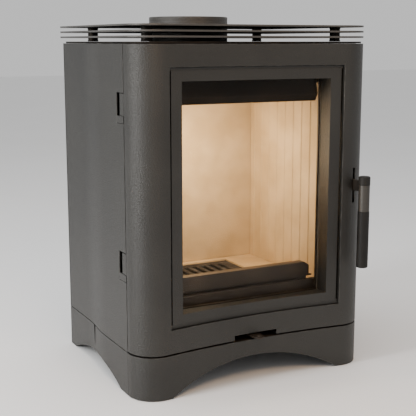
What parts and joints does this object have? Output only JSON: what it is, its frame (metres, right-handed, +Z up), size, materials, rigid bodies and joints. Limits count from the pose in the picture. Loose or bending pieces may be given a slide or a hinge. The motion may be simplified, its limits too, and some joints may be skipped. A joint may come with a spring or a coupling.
{
  "type": "wood burning stove",
  "caption": "Small free-standing sheet-steel wood burning stove: arched plinth, full-front glazed door with side hinges and rod handle, air lever, plates on columns over the top, flue collar.",
  "frame": {"origin": "middle of the footprint, handle included, at floor level", "axes": "+Z up, +Y to the rear, +X to the right as seen from in front of the door"},
  "size_m": [0.46, 0.4, 0.64],
  "materials": {
    "graphite_paint": "satin graphite-grey stove paint with a fine texture",
    "dark_steel": "dark heat-blued sheet steel",
    "cast_iron": "sooty cast iron",
    "vermiculite": "cream pressed vermiculite board",
    "satin_steel": "satin turned steel",
    "grip": "matt dark heat-resistant coating",
    "rope": "braided glass-fibre rope",
    "glass": "clear ceramic stove glass with a faint smoke tint"
  },
  "bodies": {
    "casing": {"plinth_front": "graphite_paint", "plinth_side_right": "graphite_paint", "plinth_side_left": "graphite_paint", "plinth_rear": "graphite_paint", "base_plate": "dark_steel", "side_panel_right": "graphite_paint", "side_panel_left": "graphite_paint", "rear_panel": "graphite_paint", "top_plate": "dark_steel", "thin_plate_lower": "graphite_paint", "thin_plate_middle": "graphite_paint", "thin_plate_upper": "graphite_paint", "plate_column_front_right": "dark_steel", "plate_column_front_left": "dark_steel", "plate_column_rear_right": "dark_steel", "plate_column_rear_left": "dark_steel", "flue_collar": "graphite_paint", "front_frame": "dark_steel", "firebox_shell": "dark_steel", "lining_side_right": "vermiculite", "lining_side_left": "vermiculite", "lining_back": "vermiculite", "lining_floor": "vermiculite", "baffle": "vermiculite", "grate": "cast_iron", "ash_pan": "dark_steel", "ash_apron": "dark_steel", "log_retainer": "dark_steel", "air_wash_bar": "dark_steel", "air_box": "dark_steel", "air_spigot": "dark_steel", "hinge_bracket_lower": "dark_steel", "hinge_pin_lower": "satin_steel", "hinge_bracket_upper": "dark_steel", "hinge_pin_upper": "satin_steel", "catch_bracket": "dark_steel", "catch_pin": "satin_steel"},
    "door": {"door_shell": "graphite_paint", "window_frame": "graphite_paint", "door_glass": "glass", "glass_gasket": "rope", "door_inner_plate": "dark_steel", "door_rope": "rope", "hinge_knuckle_lower": "dark_steel", "hinge_knuckle_upper": "dark_steel", "latch_bracket": "dark_steel"},
    "latch": {"latch_lever": "dark_steel", "latch_hook": "dark_steel", "latch_shaft": "satin_steel", "handle_core": "satin_steel", "handle_grip": "grip", "handle_collar": "satin_steel", "handle_cap": "grip"},
    "air_control": {"air_slide": "dark_steel"}
  },
  "joints": [
    {"name": "door_hinge", "type": "hinge", "parent": "casing", "child": "door", "pos_m": [-0.224, -0.095, 0.08], "axis": [0, 0, -1], "range_deg": [0, 110]},
    {"name": "latch_turn", "type": "hinge", "parent": "door", "child": "latch", "pos_m": [0.2, -0.134, 0.34], "axis": [-1, 0, 0], "range_deg": [-6, 35]},
    {"name": "air_lever", "type": "slide", "parent": "casing", "child": "air_control", "axis": [1, 0, 0], "range_m": [-0.027, 0.027]}
  ]
}
